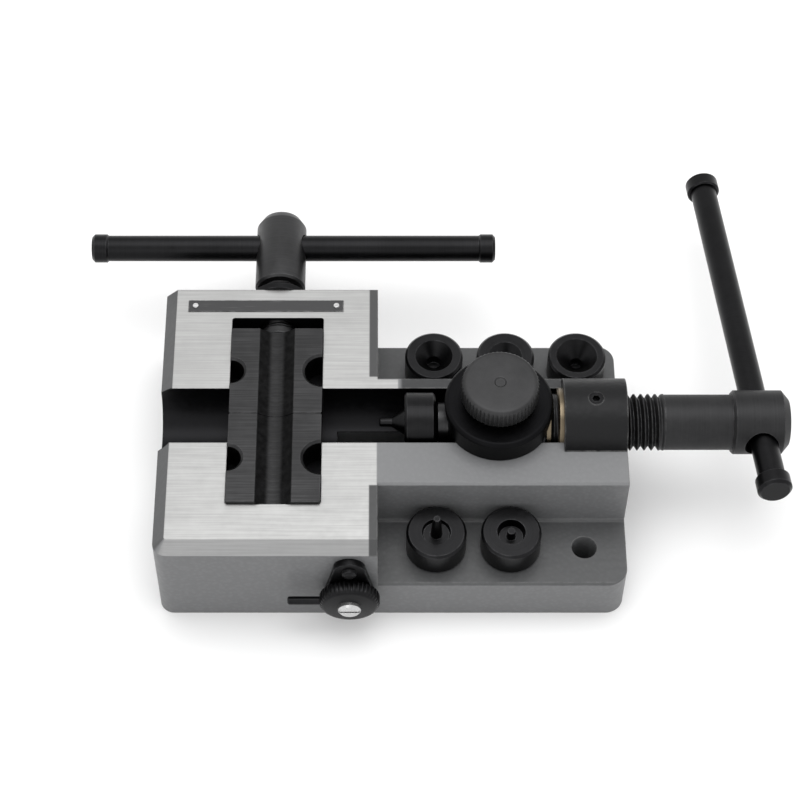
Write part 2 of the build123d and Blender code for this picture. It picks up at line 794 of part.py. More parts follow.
save(make_punch(press_line, ram_front_x, -1, pilot_face), "punch_in_ram")
spare_punches = (
    ("front_punch_left", 0, front_row_y, pin_face),
    ("front_punch_middle", 1, front_row_y, ring_face),
    ("rear_punch_left", 0, rear_row_y, cup_face),
    ("rear_punch_middle", 1, rear_row_y, shallow_cup_face),
    ("rear_punch_right", 2, rear_row_y, cone_cup_face),
)
for punch_name, number, row_y, face_outline in spare_punches:
    punch_line = upright(first_punch_x + number * punch_pitch, row_y)
    save(make_punch(punch_line, deck_height, 1, face_outline), punch_name)

# ---- Pipe stop ---------------------------------------------------------------------------------
plate_front = front_face - plate_thickness
knob_back = plate_front - face_gap
knob_face = knob_back - stop_knob_length

with BuildPart() as stop_shaft:
    rod(stop_line, knob_back - stop_shaft_grip, stop_shaft_end - face_gap, stop_shaft_radius)
save(stop_shaft.part, "stop_shaft")

with BuildPart() as stop_flag:
    with BuildSketch(Plane.XZ.offset(-flag_width / 2)) as flag_section:
        with Locations((stop_x, stop_height)):
            Circle(flag_eye_radius)
        with Locations((stop_x + flag_length / 2, stop_height)):
            Rectangle(flag_length, flag_thickness)
        with Locations((stop_x, stop_height)):
            Circle(stop_shaft_radius, mode=Mode.SUBTRACT)
    extrude(amount=flag_width)
    flag_pin_line = upright(stop_x, 0)
    rod(
        flag_pin_line,
        stop_height - flag_eye_radius,
        stop_height + flag_eye_radius,
        flag_pin_radius,
        mode=Mode.SUBTRACT,
    )
save(stop_flag.part, "stop_flag")

with BuildPart() as stop_plate:
    with BuildSketch(Plane.XZ.offset(-front_face)) as plate_section:
        with BuildLine():
            low_arc = CenterArc((stop_x, stop_height), plate_low_radius, 180, 180)
            high_arc = CenterArc((stop_x, stop_height + plate_rise), plate_high_radius, 0, 180)
            Line(low_arc @ 1, high_arc @ 0)
            Line(high_arc @ 1, low_arc @ 0)
        make_face()
        with Locations((stop_x, stop_height)):
            Circle(stop_shaft_radius + running, mode=Mode.SUBTRACT)
        with Locations((stop_x, stop_height + plate_rise)):
            Circle(plate_screw_radius, mode=Mode.SUBTRACT)
    extrude(amount=plate_thickness)
save(stop_plate.part, "stop_plate")

with BuildPart() as stop_plate_screw:
    plate_screw_line = Plane(
        origin=(stop_x, 0, stop_height + plate_rise), x_dir=(0, 1, 0), z_dir=(1, 0, 0)
    )
    turn(
        plate_screw_line,
        (plate_front - plate_screw_head, 0),
        (plate_front - plate_screw_head, plate_screw_head_flat),
        (plate_front - 0.7 * plate_screw_head, 0.9 * plate_screw_head_radius),
        (plate_front, plate_screw_head_radius),
        (plate_front, plate_screw_radius),
        (front_face + plate_screw_length, plate_screw_radius),
        (front_face + plate_screw_length, 0),
    )
save(stop_plate_screw.part, "stop_plate_screw")

with BuildPart() as stop_knob:
    turn(
        stop_line,
        (knob_back, stop_shaft_radius),
        (knob_back, stop_knob_radius - turned_edge),
        (knob_back - turned_edge, stop_knob_radius),
        (knob_face + stop_knob_round, stop_knob_radius),
        (knob_face, stop_knob_radius - stop_knob_round),
        (knob_face, 0),
        (knob_back - stop_shaft_grip, 0),
        (knob_back - stop_shaft_grip, stop_shaft_radius),
    )
    lever_line = Plane(
        origin=(stop_x, (knob_back + knob_face) / 2, stop_height), x_dir=(-1, 0, 0), z_dir=(0, -1, 0)
    )
    rod(lever_line, stop_lever_root, stop_knob_radius, stop_lever_radius, mode=Mode.SUBTRACT)
save(stop_knob.part, "stop_knob")

with BuildPart() as stop_lever:
    lever_end = stop_knob_radius + stop_lever_reach
    edged_rod(lever_line, stop_lever_root, lever_end, stop_lever_radius, stop_lever_edge)
save(stop_lever.part, "stop_lever")

with BuildPart() as stop_knob_screw:
    turn(
        stop_line,
        (knob_face, 0),
        (knob_face, stop_screw_radius),
        (knob_face - stop_screw_length + stop_screw_edge, stop_screw_radius),
        (knob_face - stop_screw_length, stop_screw_radius - stop_screw_edge),
        (knob_face - stop_screw_length, 0),
    )
    slab(
        (stop_x - stop_screw_radius, stop_x + stop_screw_radius),
        (knob_face - stop_screw_length, knob_face - stop_screw_length + stop_slot),
        (stop_height - stop_slot / 2, stop_height + stop_slot / 2),
        mode=Mode.SUBTRACT,
    )
save(stop_knob_screw.part, "stop_knob_screw")

with BuildPart() as stop_flag_pin:
    rod(
        flag_pin_line,
        stop_height + stop_shaft_radius,
        stop_height + flag_eye_radius - flag_pin_sunk,
        flag_pin_radius,
    )
save(stop_flag_pin.part, "stop_flag_pin")

# ---- Blank name plate --------------------------------------------------------------------------
plate_low = block_height + name_plate_proud - name_plate_thickness
plate_high = block_height + name_plate_proud
plate_half = name_plate_length / 2 - name_plate_play
plate_half_width = name_plate_width / 2 - name_plate_play
rivet_spots = [
    (name_plate_x + side * (name_plate_length / 2 - rivet_inset), name_plate_y) for side in (-1, 1)
]

with BuildPart() as name_plate:
    slab(
        (name_plate_x - plate_half, name_plate_x + plate_half),
        (name_plate_y - plate_half_width, name_plate_y + plate_half_width),
        (plate_low, plate_high),
    )
    for spot_x, spot_y in rivet_spots:
        rod(upright(spot_x, spot_y), plate_low, plate_high, rivet_radius, mode=Mode.SUBTRACT)
save(name_plate.part, "name_plate")

with BuildPart() as name_plate_rivets:
    for spot_x, spot_y in rivet_spots:
        rod(upright(spot_x, spot_y), plate_low, plate_high + rivet_proud, rivet_radius)
save(name_plate_rivets.part, "name_plate_rivets")
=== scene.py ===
"""Looks of the bench flaring tool: finishes, cut threads, fluted knobs, spring, stage and camera.

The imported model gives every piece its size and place.  This file gives each one a finish and
replaces five plain pieces with ones that have their threads, flutes and coils.
"""

from math import pi, radians

import bmesh
import bpy
import numpy as np
from bpy.props import FloatProperty, FloatVectorProperty, IntProperty, PointerProperty
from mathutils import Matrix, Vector


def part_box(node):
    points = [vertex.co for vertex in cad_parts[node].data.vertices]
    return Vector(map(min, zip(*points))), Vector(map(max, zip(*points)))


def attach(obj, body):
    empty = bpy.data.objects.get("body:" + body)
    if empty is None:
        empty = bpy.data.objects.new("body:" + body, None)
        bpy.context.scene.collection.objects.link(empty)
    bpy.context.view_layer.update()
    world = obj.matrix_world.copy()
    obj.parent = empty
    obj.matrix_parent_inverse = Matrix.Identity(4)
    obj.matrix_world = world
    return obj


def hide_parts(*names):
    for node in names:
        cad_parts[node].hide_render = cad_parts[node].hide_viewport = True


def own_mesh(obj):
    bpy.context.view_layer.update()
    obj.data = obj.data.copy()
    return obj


bl_info = {
    "name": "Bench flaring tool",
    "version": (1, 0, 0),
    "blender": (4, 5, 0),
    "location": "3D View > Sidebar > Flaring tool",
    "description": "Finishes, threads and flutes for a bench flaring tool",
    "category": "Object",
}

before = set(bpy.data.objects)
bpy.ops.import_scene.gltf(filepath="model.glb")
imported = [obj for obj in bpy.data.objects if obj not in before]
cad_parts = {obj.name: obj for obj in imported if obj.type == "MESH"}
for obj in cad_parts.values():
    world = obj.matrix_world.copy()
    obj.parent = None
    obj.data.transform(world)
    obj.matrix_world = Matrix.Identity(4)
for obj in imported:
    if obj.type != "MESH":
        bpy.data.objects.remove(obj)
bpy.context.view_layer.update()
MM = 0.001


# ---- Settings ----------------------------------------------------------------------------------


def colour_property(name, text, value):
    """A linear colour that a user can change."""
    return FloatVectorProperty(
        name=name, description=text, default=value, size=3, min=0.0, max=1.0, subtype="COLOR"
    )


def length_property(name, text, value):
    """A length in metres that a user can change."""
    return FloatProperty(name=name, description=text, default=value, min=0.0, unit="LENGTH")


class FlaringToolFinishes(bpy.types.PropertyGroup):
    """Colours of the tool's finishes."""

    enamel: colour_property("Enamel", "Grey hammered enamel on the casting", (0.124, 0.126, 0.129))
    # darker colour for the low decks
    deck: colour_property("Deck", "Oily darker enamel on the decks", (0.026, 0.027, 0.028))
    ground: colour_property("Ground face", "Ground top of the die block", (0.365, 0.365, 0.361))
    # near-black painted shade on the machined walls of the bore and window
    bored: colour_property("Bored surfaces", "Machined walls of the casting", (0.011, 0.011, 0.012))
    die: colour_property("Dies", "Hardened dies", (0.042, 0.042, 0.043))
    oxide: colour_property("Black oxide", "Oxide skin of screws and bars", (0.0145, 0.0145, 0.0152))
    ram: colour_property("Ram", "Dark skin of the ram", (0.036, 0.036, 0.037))
    saddle: colour_property("Saddle", "Black skin of the saddle", (0.0072, 0.0072, 0.0078))
    punch: colour_property("Punches", "Blackened punches", (0.0165, 0.0165, 0.0172))
    knob: colour_property("Coupling knob", "Dull grey top of the knob", (0.048, 0.048, 0.049))
    shank: colour_property("Screw shank", "Plain length of the press screw", (0.034, 0.034, 0.035))
    hub: colour_property("Clamp hub", "Worn oxide of the clamp screw's hub", (0.046, 0.046, 0.047))
    bright: colour_property("Bright steel", "Bright turned steel", (0.50, 0.50, 0.50))
    bronze: colour_property("Bronze", "Nut and washer bronze", (0.16, 0.13, 0.09))
    plate: colour_property("Name plate", "Satin black of the blank plate", (0.018, 0.018, 0.019))
    floor: colour_property("Floor", "Plain pale floor", (0.90, 0.90, 0.90))


class FlaringToolSizes(bpy.types.PropertyGroup):
    """Sizes of the cut threads, the flutes and the stage."""

    press_pitch: length_property("Press pitch", "Pitch of the press screw", 2.5 * MM)
    clamp_pitch: length_property("Clamp pitch", "Pitch of the clamp screw", 2.0 * MM)
    thread_depth: FloatProperty(
        name="Thread depth",
        description="Depth as a share of the pitch",
        default=0.58,
        min=0.1,
        max=0.8,
    )
    knob_flutes: IntProperty(
        name="Knob flutes", description="Straight flutes round the coupling knob", default=54, min=8
    )
    stop_flutes: IntProperty(
        name="Stop flutes", description="Straight flutes round the stop's knob", default=40, min=8
    )
    flute_depth: length_property("Flute depth", "Depth of the flutes", 0.35 * MM)
    floor_width: length_property("Floor width", "Width of the square floor", 6.0)


# ---- Mesh making -------------------------------------------------------------------------------

# corners this near become one, and edges this short go
WELD_GAP = 2e-6
FLAT_EDGE = 1e-7
SHARP_ANGLE = radians(33.0)
# a ring this small is the middle of a disc
POINT = 1e-7
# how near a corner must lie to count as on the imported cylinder, and as on its rim
ON_CYLINDER = 0.02 * MM
ON_RIM = 0.01 * MM
# rows per pitch and columns per turn; slope of the thread's V and how much of it stays crest
THREAD_ROWS = 14
THREAD_COLUMNS = 112
THREAD_SLOPE = 1.3
THREAD_CREST = 0.15
# rows per turn of the coil and columns round its wire
COIL_ROWS = 40
COIL_COLUMNS = 12
# columns per flute, and the power that shapes it
FLUTE_COLUMNS = 8
FLUTE_SHARPNESS = 0.7

# along, first and second direction of a turned piece, right-handed in that order
AXES = {
    "X": ((1, 0, 0), (0, 1, 0), (0, 0, 1)),
    "Y": ((0, 1, 0), (0, 0, 1), (1, 0, 0)),
    "Z": ((0, 0, 1), (1, 0, 0), (0, 1, 0)),
}


def turned_points(along, radius, angle, axis, centre):
    """Turned surface.

    point = centre + along * axis + radius * (cos(angle) * first + sin(angle) * second)
    """
    forward, first, second = (np.array(vector, float) for vector in AXES[axis])
    along, radius, angle = np.broadcast_arrays(along, radius, angle)
    spoke = np.cos(angle)[..., None] * first + np.sin(angle)[..., None] * second
    return np.array(centre, float) + along[..., None] * forward + radius[..., None] * spoke


def turned_faces(rows, columns, loop=False):
    """Triangles between neighbouring rings; with loop the last ring joins the first one."""
    last = rows if loop else rows - 1
    row, column = np.meshgrid(np.arange(last), np.arange(columns), indexing="ij")
    over, beside = (row + 1) % rows, (column + 1) % columns
    this_ring, next_ring = row * columns, over * columns
    corners = (this_ring + column, this_ring + beside, next_ring + beside, next_ring + column)
    first, second, third, fourth = (corner.ravel() for corner in corners)
    halves = (first, second, third), (first, third, fourth)
    return np.vstack([np.column_stack(half) for half in halves])


def make_piece(name, triangles):
    """An object from an array of triangles (count, 3, 3), welded, smooth between sharp edges."""
    mesh = bpy.data.meshes.new(name)
    points = triangles.reshape(-1, 3)
    mesh.from_pydata(points.tolist(), [], np.arange(len(points)).reshape(-1, 3).tolist())
    work = bmesh.new()
    work.from_mesh(mesh)
    bmesh.ops.remove_doubles(work, verts=work.verts, dist=WELD_GAP)
    bmesh.ops.dissolve_degenerate(work, edges=work.edges, dist=FLAT_EDGE)
    work.to_mesh(mesh)
    work.free()
    mesh.shade_smooth()
    mesh.set_sharp_from_angle(angle=SHARP_ANGLE)
    piece = bpy.data.objects.new(name, mesh)
    bpy.context.scene.collection.objects.link(piece)
    return piece


def packed_triangles(node):
    """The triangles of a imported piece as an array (count, 3, 3)."""
    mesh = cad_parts[node].data
    mesh.calc_loop_triangles()
    points = np.empty(len(mesh.vertices) * 3)
    mesh.vertices.foreach_get("co", points)
    corners = np.empty(len(mesh.loop_triangles) * 3, dtype=np.int32)
    mesh.loop_triangles.foreach_get("vertices", corners)
    return points.reshape(-1, 3)[corners.reshape(-1, 3)]


def smooth_step(value):
    """0 below 0, 1 above 1 and 3 v^2 - 2 v^3 between."""
    value = np.clip(value, 0.0, 1.0)
    return value * value * (3.0 - 2.0 * value)


def threaded_triangles(node, axis, centre, outer, pitch, depth):
    """A packed screw with its plain outer cylinder swapped for a cut right-hand thread.

    radius = outer - depth * cut * fade, where phase = along / pitch - angle / (2 pi),
    cut = THREAD_SLOPE * (1 - |2 phase - 1|) - THREAD_CREST held between 0 and 1, and
    fade takes the thread out smoothly over one pitch at each end.
    """
    triangles = packed_triangles(node)
    number = "XYZ".index(axis)
    others = [place for place in range(3) if place != number]
    points = triangles.reshape(-1, 3)
    distance = np.linalg.norm((points - np.array(centre))[:, others], axis=1)
    on_thread = points[np.abs(distance - outer) < ON_CYLINDER]
    start, end = on_thread[:, number].min(), on_thread[:, number].max()
    place = triangles[:, :, number]
    kept = (place <= start + ON_RIM).all(axis=1) | (place >= end - ON_RIM).all(axis=1)
    rows = int((end - start) / pitch * THREAD_ROWS) + 1
    along = np.linspace(start, end, rows)[:, None]
    angle = np.linspace(0.0, 2.0 * pi, THREAD_COLUMNS, endpoint=False)[None, :]
    phase = (along / pitch - angle / (2.0 * pi)) % 1.0
    wave = 1.0 - np.abs(2.0 * phase - 1.0)
    cut = np.clip(THREAD_SLOPE * wave - THREAD_CREST, 0.0, 1.0)
    fade = smooth_step((along - start) / pitch) * smooth_step((end - along) / pitch)
    radius = outer - depth * cut * fade
    origin = np.array(centre, float)
    origin[number] = 0.0
    grid = turned_points(along, radius, angle, axis, origin)
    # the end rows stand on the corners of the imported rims, so that no seam stays open
    for row, rim in ((0, start), (-1, end)):
        corners = on_thread[np.abs(on_thread[:, number] - rim) < ON_RIM]
        gaps = np.linalg.norm(grid[row][:, None, :] - corners[None, :, :], axis=2)
        grid[row] = corners[gaps.argmin(axis=1)]
    return np.vstack([triangles[kept], grid.reshape(-1, 3)[turned_faces(rows, THREAD_COLUMNS)]])


def coil_triangles(centre, radius, wire, turns, low, high):
    """Wire bent in a coil round an upright axis.

    middle = centre + radius * (cos(turn), sin(turn)) rising evenly from low to high, and
    point = middle + wire * (cos(round) * outwards + sin(round) * up), closed flat at both ends.
    """
    rows = int(turns * COIL_ROWS) + 1
    share = np.linspace(0.0, 1.0, rows)[:, None]
    turn = 2.0 * pi * turns * share
    around = np.linspace(0.0, 2.0 * pi, COIL_COLUMNS, endpoint=False)[None, :]
    reach = radius + wire * np.cos(around)
    x, y = centre[0] + reach * np.cos(turn), centre[1] + reach * np.sin(turn)
    height = low + (high - low) * share + wire * np.sin(around)
    skin = np.stack([x, y, height], axis=-1)
    triangles = skin.reshape(-1, 3)[turned_faces(rows, COIL_COLUMNS)]
    ends = []
    for row, order in ((0, -1), (-1, 1)):
        ring = skin[row]
        middle = np.broadcast_to(ring.mean(axis=0), ring.shape)
        ends.append(np.stack([middle, ring, np.roll(ring, -1, axis=0)][::order], axis=1))
    return outward(np.vstack([triangles, *ends]))


def outward(triangles):
    """The same triangles with their faces pointing out: the enclosed volume must be positive."""
    first, second, third = (triangles[:, place] for place in range(3))
    volume = np.einsum("ij,ij->i", first, np.cross(second, third)).sum()
    return triangles if volume > 0 else triangles[:, ::-1]


def fluted_triangles(profile, axis, centre, flutes, depth):
    """A closed turned ring or disc; profile rows are (along, radius, share of the flute depth).

    radius = profile radius - depth * share * (1 - |cos(flutes * angle / 2)|) ^ FLUTE_SHARPNESS
    """
    along, reach, share = (column[:, None] for column in np.array(profile, float).T)
    columns = flutes * FLUTE_COLUMNS
    angle = np.linspace(0.0, 2.0 * pi, columns, endpoint=False)[None, :]
    groove = (1.0 - np.abs(np.cos(flutes * angle / 2.0))) ** FLUTE_SHARPNESS
    radius = reach - depth * share * groove
    grid = turned_points(along, radius, angle, axis, centre).reshape(-1, 3)
    return grid[turned_faces(len(profile), columns, loop=True)]


# ---- Shader groups -----------------------------------------------------------------------------


def add_node(tree, kind, settings=None, **values):
    """A shader node with its settings and the values or links of its inputs."""
    node = tree.nodes.new(kind)
    for key, value in (settings or {}).items():
        setattr(node, key, value)
    for key, value in values.items():
        # i0, i1 and so on are the inputs by number; the rest are names
        socket = node.inputs[int(key[1:]) if key[1:].isdigit() else key.replace("_", " ")]
        if isinstance(value, bpy.types.NodeSocket):
            tree.links.new(value, socket)
        else:
            socket.default_value = value
    return node


def math_node(tree, operation, first, second=0.5, third=0.5, clamp=False):
    """One sum; the result's socket comes back."""
    settings = {"operation": operation, "use_clamp": clamp}
    return add_node(tree, "ShaderNodeMath", settings, i0=first, i1=second, i2=third).outputs[0]


def product(tree, first, *others):
    """All the values multiplied, from the left."""
    for other in others:
        first = math_node(tree, "MULTIPLY", first, other)
    return first


def larger(tree, first, second):
    """The larger of two values."""
    return math_node(tree, "MAXIMUM", first, second)


def vector_node(tree, operation, first, **values):
    """One vector sum; the node's outputs come back."""
    settings = {"operation": operation}
    return add_node(tree, "ShaderNodeVectorMath", settings, i0=first, **values).outputs


def noise_node(tree, place, scale, detail, **values):
    """The value of a noise texture."""
    return add_node(
        tree, "ShaderNodeTexNoise", Vector=place, Scale=scale, Detail=detail, **values
    ).outputs[0]


def mix_colour(tree, share, first, second):
    """Mixes two colours by a share."""
    node = add_node(tree, "ShaderNodeMix", {"data_type": "RGBA"})
    for number, value in ((0, share), (6, first), (7, second)):
        if isinstance(value, bpy.types.NodeSocket):
            tree.links.new(value, node.inputs[number])
        elif hasattr(value, "__len__"):
            node.inputs[number].default_value = (*value[:3], 1.0)
        else:
            node.inputs[number].default_value = value
    return node.outputs[2]


def map_range(tree, value, low, high, new_low=0.0, new_high=1.0):
    """Carries a value from one range to another, clamped and smooth."""
    node = add_node(
        tree,
        "ShaderNodeMapRange",
        {"interpolation_type": "SMOOTHSTEP"},
        i0=value,
        i1=low,
        i2=high,
        i3=new_low,
        i4=new_high,
    )
    return node.outputs[0]


def start_group(name, inputs, outputs):
    """An empty shader group with its sockets: (tree, input node, output node)."""
    tree = bpy.data.node_groups.new(name, "ShaderNodeTree")
    for direction, sockets in (("INPUT", inputs), ("OUTPUT", outputs)):
        for title, kind, value in sockets:
            socket = tree.interface.new_socket(name=title, in_out=direction, socket_type=kind)
            if value is not None:
                socket.default_value = value
    return tree, tree.nodes.new("NodeGroupInput"), tree.nodes.new("NodeGroupOutput")


FLOAT, VECTOR = "NodeSocketFloat", "NodeSocketVector"
BEVEL_SAMPLES = 4
EDGE_GAIN = 7.0
SCUFF_SCALE = 260.0
# output, scale and detail of each size of grain
GRAINS = (("Fine", 2600.0, 4.0), ("Mottle", 420.0, 4.0), ("Patch", 55.0, 3.0))
BAND_SCALE = 1500.0
RING_SHARE = 0.2
STREAK_SQUEEZE = (0.02, 1.0, 1.0)


def edge_wear_group():
    """1 on outward edges and 0 on flats: how far the rounded normal turns from the face's own."""
    tree, entry, exit_node = start_group(
        "edge_wear",
        [("Vector", VECTOR, None), ("Radius", FLOAT, 0.6 * MM), ("Amount", FLOAT, 1.0)],
        [("Wear", FLOAT, None)],
    )
    rounded = add_node(
        tree, "ShaderNodeBevel", {"samples": BEVEL_SAMPLES}, Radius=entry.outputs["Radius"]
    )
    geometry = tree.nodes.new("ShaderNodeNewGeometry")
    agreement = vector_node(
        tree, "DOT_PRODUCT", rounded.outputs[0], i1=geometry.outputs["Normal"]
    )["Value"]
    turned = math_node(tree, "SUBTRACT", 1.0, agreement)
    edge = math_node(tree, "MULTIPLY", turned, EDGE_GAIN, clamp=True)
    scuffs = noise_node(tree, entry.outputs["Vector"], SCUFF_SCALE, 5.0, Roughness=0.65)
    broken = product(tree, edge, map_range(tree, scuffs, 0.36, 0.62))
    worn = math_node(tree, "MULTIPLY", broken, entry.outputs["Amount"], clamp=True)
    tree.links.new(worn, exit_node.inputs["Wear"])
    return tree


def grain_group():
    """Three sizes of noise: fine grit, middling mottle and broad patches."""
    tree, entry, exit_node = start_group(
        "metal_grain",
        [("Vector", VECTOR, None)],
        [(grain[0], FLOAT, None) for grain in GRAINS],
    )
    for title, scale, detail in GRAINS:
        noise = noise_node(tree, entry.outputs["Vector"], scale, detail, Roughness=0.6)
        tree.links.new(noise, exit_node.inputs[title])
    return tree


def turning_group():
    """Lathe marks: a wave of radius plus height about the local z axis, broken up by noise."""
    tree, entry, exit_node = start_group(
        "turning_marks",
        [("Vector", VECTOR, None), ("Spacing", FLOAT, 0.25 * MM)],
        [("Marks", FLOAT, None), ("Band", FLOAT, None)],
    )
    parts = add_node(tree, "ShaderNodeSeparateXYZ", i0=entry.outputs["Vector"]).outputs
    flat = add_node(tree, "ShaderNodeCombineXYZ", i0=parts[0], i1=parts[1], i2=0.0).outputs[0]
    radius = vector_node(tree, "LENGTH", flat)["Value"]
    sweep = math_node(tree, "ADD", radius, parts[2])
    turns = math_node(tree, "DIVIDE", sweep, entry.outputs["Spacing"])
    wave = math_node(tree, "SINE", product(tree, turns, 2.0 * pi))
    line = add_node(tree, "ShaderNodeCombineXYZ", i0=sweep, i1=0.0, i2=0.0).outputs[0]
    band = noise_node(tree, line, BAND_SCALE, 4.0, Roughness=0.7)
    marks = math_node(tree, "ADD", product(tree, wave, RING_SHARE), band)
    tree.links.new(marks, exit_node.inputs["Marks"])
    tree.links.new(band, exit_node.inputs["Band"])
    return tree


def brushing_group():
    """Long fine streaks along the local x axis: noise of the place with x squeezed."""
    tree, entry, exit_node = start_group(
        "ground_streaks",
        [("Vector", VECTOR, None), ("Fineness", FLOAT, 2200.0)],
        [("Streak", FLOAT, None)],
    )
    squeezed = vector_node(tree, "MULTIPLY", entry.outputs["Vector"], i1=STREAK_SQUEEZE)[0]
    streak = noise_node(tree, squeezed, entry.outputs["Fineness"], 3.0, Roughness=0.6)
    tree.links.new(streak, exit_node.inputs["Streak"])
    return tree


GROUP_MAKERS = {
    "edge_wear": edge_wear_group,
    "metal_grain": grain_group,
    "turning_marks": turning_group,
    "ground_streaks": brushing_group,
}


def place_group(tree, name, **values):
    """Places a shared group, made the first time that it is asked for."""
    group = bpy.data.node_groups.get(name) or GROUP_MAKERS[name]()
    return add_node(tree, "ShaderNodeGroup", {"node_tree": group}, **values).outputs


def start_material(name):
    """A new material: (material, tree, shader, object coordinates)."""
    material = bpy.data.materials.new(name)
    material.use_nodes = True
    tree = material.node_tree
    shader = tree.nodes["Principled BSDF"]
    place = tree.nodes.new("ShaderNodeTexCoord").outputs["Object"]
    return material, tree, shader, place


def finish_relief(tree, shader, height, strength, distance, rounding):
    """Bump over softened edges, into the shader's normal."""
    soft = add_node(tree, "ShaderNodeBevel", {"samples": BEVEL_SAMPLES}, Radius=rounding).outputs[0]
    bump = add_node(
        tree, "ShaderNodeBump", Strength=strength, Distance=distance, Height=height, Normal=soft
    )
    tree.links.new(bump.outputs[0], shader.inputs["Normal"])


def shade(colour, factor):
    """A colour made lighter or darker."""
    return tuple(min(1.0, part * factor) for part in colour[:3])


def distance_from(tree, value, middle):
    """How far a value lies from a middle one."""
    return math_node(tree, "ABSOLUTE", math_node(tree, "SUBTRACT", value, middle))


def varied_roughness(tree, mottle, middle, spread):
    """A roughness that the mottle carries up and down round its middle value."""
    return math_node(tree, "MULTIPLY_ADD", mottle, spread, middle - spread / 2)


# ---- Materials ---------------------------------------------------------------------------------


def turned_metal(name, colour, roughness, centre, axis="Z", bright=4.0, marks=0.5, banding=1.0):
    """Turned steel: lathe rings about its own axis, mottled skin and edges rubbed bright."""
    material, tree, shader, place = start_material(name)
    # the axis is turned to the local z axis of the rings
    turn = {"X": (0.0, -pi / 2, 0.0), "Y": (pi / 2, 0.0, 0.0), "Z": (0.0, 0.0, 0.0)}[axis]
    moved = vector_node(tree, "SUBTRACT", place, i1=centre)[0]
    local = add_node(tree, "ShaderNodeMapping", Vector=moved, Rotation=turn).outputs[0]
    rings = place_group(tree, "turning_marks", Vector=local)
    grain = place_group(tree, "metal_grain", Vector=place)
    wear = place_group(tree, "edge_wear", Vector=place, Amount=0.6)["Wear"]
    skin = mix_colour(tree, grain["Mottle"], shade(colour, 0.72), shade(colour, 1.3))
    bands = map_range(tree, rings["Band"], 0.35, 0.7, 0.0, banding)
    skin = mix_colour(tree, bands, skin, shade(colour, 1.25))
    patches = map_range(tree, grain["Patch"], 0.35, 0.7, 0.0, 0.35)
    skin = mix_colour(tree, patches, skin, shade(colour, 0.6))
    skin = mix_colour(tree, wear, skin, shade(colour, bright))
    tree.links.new(skin, shader.inputs["Base Color"])
    rough = varied_roughness(tree, grain["Mottle"], roughness, 0.18)
    rough = math_node(tree, "SUBTRACT", rough, product(tree, wear, 0.12), clamp=True)
    tree.links.new(rough, shader.inputs["Roughness"])
    shader.inputs["Metallic"].default_value = 1.0
    height = math_node(tree, "ADD", product(tree, rings["Marks"], marks), grain["Fine"])
    finish_relief(tree, shader, height, 0.25, 0.05 * MM, 0.25 * MM)
    return material


def ground_metal(name, colour, roughness, bright=3.0):
    """Ground steel block: fine streaks, mottled skin and rubbed edges."""
    material, tree, shader, place = start_material(name)
    streak = place_group(tree, "ground_streaks", Vector=place)["Streak"]
    grain = place_group(tree, "metal_grain", Vector=place)
    wear = place_group(tree, "edge_wear", Vector=place, Amount=0.5)["Wear"]
    streaks = map_range(tree, streak, 0.3, 0.7)
    skin = mix_colour(tree, streaks, shade(colour, 0.78), shade(colour, 1.22))
    patches = map_range(tree, grain["Patch"], 0.35, 0.68, 0.0, 0.5)
    skin = mix_colour(tree, patches, skin, shade(colour, 0.62))
    skin = mix_colour(tree, wear, skin, shade(colour, bright))
    tree.links.new(skin, shader.inputs["Base Color"])
    rough = varied_roughness(tree, grain["Mottle"], roughness, 0.2)
    tree.links.new(rough, shader.inputs["Roughness"])
    shader.inputs["Metallic"].default_value = 1.0
    height = math_node(tree, "ADD", streak, product(tree, grain["Fine"], 0.6))
    finish_relief(tree, shader, height, 0.22, 0.05 * MM, 0.3 * MM)
    return material


def die_metal(finishes):
    """The dies: ground steel with painted shade along both sides of the forming groove."""
    material = ground_metal("die_steel", finishes.die, 0.38, bright=2.6)
    tree = material.node_tree
    shader = next(node for node in tree.nodes if node.type == "BSDF_PRINCIPLED")
    place = add_node(tree, "ShaderNodeTexCoord").outputs["Object"]
    parts = add_node(tree, "ShaderNodeSeparateXYZ", i0=place).outputs
    aside = distance_from(tree, parts[0], box_centre("front_die")[0])
    outer = map_range(tree, aside, GROOVE_SHADE_HALF + 0.2 * MM, GROOVE_SHADE_HALF - 0.4 * MM)
    inner = map_range(tree, aside, 1.6 * MM, 3.2 * MM, 0.35, 1.0)
    grain = place_group(tree, "metal_grain", Vector=place)
    blotches = map_range(tree, grain["Mottle"], 0.2, 0.8, 0.75, 1.0)
    # painted shade on the groove's walls, broken up by the mottle
    groove_shade = product(tree, outer, inner, blotches)
    bare = shader.inputs["Base Color"].links[0].from_socket
    skin = mix_colour(tree, groove_shade, bare, shade(finishes.die, 0.10))
    tree.links.new(skin, shader.inputs["Base Color"])
    return material


